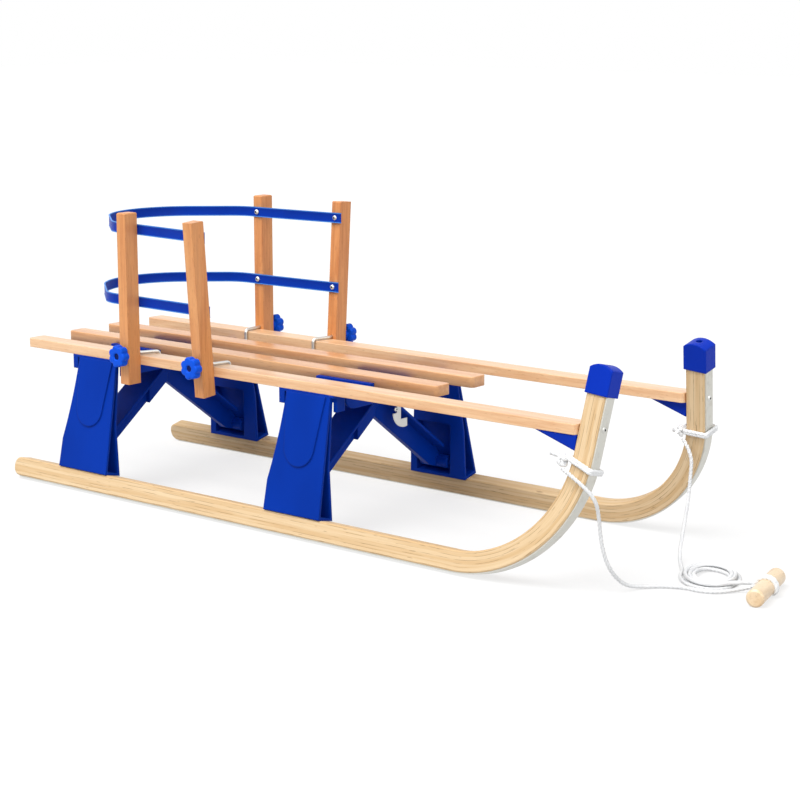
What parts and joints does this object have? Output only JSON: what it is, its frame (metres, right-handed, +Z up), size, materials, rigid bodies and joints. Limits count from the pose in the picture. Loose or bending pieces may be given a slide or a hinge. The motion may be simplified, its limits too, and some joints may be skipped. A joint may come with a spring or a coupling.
{
  "type": "folding wooden sled",
  "caption": "Folding wooden sled with bent runners, slatted seat, moulded folding trestles, clamped backrest and pulling rope.",
  "frame": {"origin": "on the floor, under the middle of the sled's length and width, rope not counted", "axes": "+X forward along the runners, +Y to the sled's left, +Z up"},
  "size_m": [1.2836, 0.3872, 0.44],
  "materials": {
    "runner_wood": "clear varnish, satin",
    "shoe_steel": "bright",
    "slat_wood": "clear varnish, satin",
    "post_wood": "clear varnish, satin",
    "trestle_plastic": "fine moulded grain",
    "trim_plastic": "fine moulded grain",
    "knob_plastic": "satin",
    "zinc_steel": "zinc plated",
    "band_plastic": "satin",
    "rope_fibre": "braided",
    "handle_wood": "plain turned"
  },
  "bodies": {
    "side_right": {"runner_right": "runner_wood", "shoe_right": "shoe_steel", "horn_cap_right": "trim_plastic", "outer_slat_right": "slat_wood", "horn_gusset_right": "trim_plastic", "leg_rear_right": "trestle_plastic", "leg_front_right": "trestle_plastic", "post_rear_right": "post_wood", "post_front_right": "post_wood", "knob_rear_right": "knob_plastic", "knob_front_right": "knob_plastic", "hook_rear_right": "zinc_steel", "hook_front_right": "zinc_steel", "backrest_band_lower": "band_plastic", "backrest_band_upper": "band_plastic", "rope_knot_right": "rope_fibre", "rope_strand_right": "rope_fibre"},
    "half_right": {"crossbeam_rear_right": "trestle_plastic", "crossbeam_front_right": "trestle_plastic", "inner_slat_right": "slat_wood"},
    "half_left": {"crossbeam_rear_left": "trestle_plastic", "crossbeam_front_left": "trestle_plastic", "inner_slat_left": "slat_wood"},
    "side_left": {"runner_left": "runner_wood", "shoe_left": "shoe_steel", "horn_cap_left": "trim_plastic", "outer_slat_left": "slat_wood", "horn_gusset_left": "trim_plastic", "leg_rear_left": "trestle_plastic", "leg_front_left": "trestle_plastic", "post_rear_left": "post_wood", "post_front_left": "post_wood", "knob_rear_left": "knob_plastic", "knob_front_left": "knob_plastic", "hook_rear_left": "zinc_steel", "hook_front_left": "zinc_steel", "rope_knot_left": "rope_fibre", "rope_strand_left": "rope_fibre", "rope_coil": "rope_fibre", "rope_lead": "rope_fibre", "rope_handle": "handle_wood"},
    "struts_right": {"strut_rear_right": "trestle_plastic", "strut_front_right": "trestle_plastic"},
    "struts_left": {"strut_rear_left": "trestle_plastic", "strut_front_left": "trestle_plastic", "latch_hook": "zinc_steel"}
  },
  "joints": [
    {"name": "fold", "type": "hinge", "parent": "side_right", "child": "half_right", "pos_m": [0, -0.102, 0.203], "axis": [1, 0, 0], "range_deg": [0, 68], "deforming": ["backrest_band_lower", "backrest_band_upper", "rope_strand_right"]},
    {"name": "fold_centre", "type": "hinge", "parent": "half_right", "child": "half_left", "pos_m": [0, 0, 0.203], "axis": [1, 0, 0], "range_deg": [-136, 0]},
    {"name": "fold_left", "type": "hinge", "parent": "half_left", "child": "side_left", "pos_m": [0, 0.102, 0.203], "axis": [1, 0, 0], "range_deg": [0, 68]},
    {"name": "strut_right_swing", "type": "hinge", "parent": "side_right", "child": "struts_right", "pos_m": [0, -0.163, 0.051], "axis": [1, 0, 0], "range_deg": [0, 24.29]},
    {"name": "strut_left_swing", "type": "hinge", "parent": "side_left", "child": "struts_left", "pos_m": [0, 0.163, 0.051], "axis": [1, 0, 0], "range_deg": [-24.29, 0]}
  ],
  "couplings": [
    {"joint": "fold_centre", "follows": "fold", "ratio": -2},
    {"joint": "fold_left", "follows": "fold", "ratio": 1},
    {"joint": "strut_right_swing", "follows": "fold", "ratio": 0.3572},
    {"joint": "strut_left_swing", "follows": "fold", "ratio": -0.3572}
  ]
}
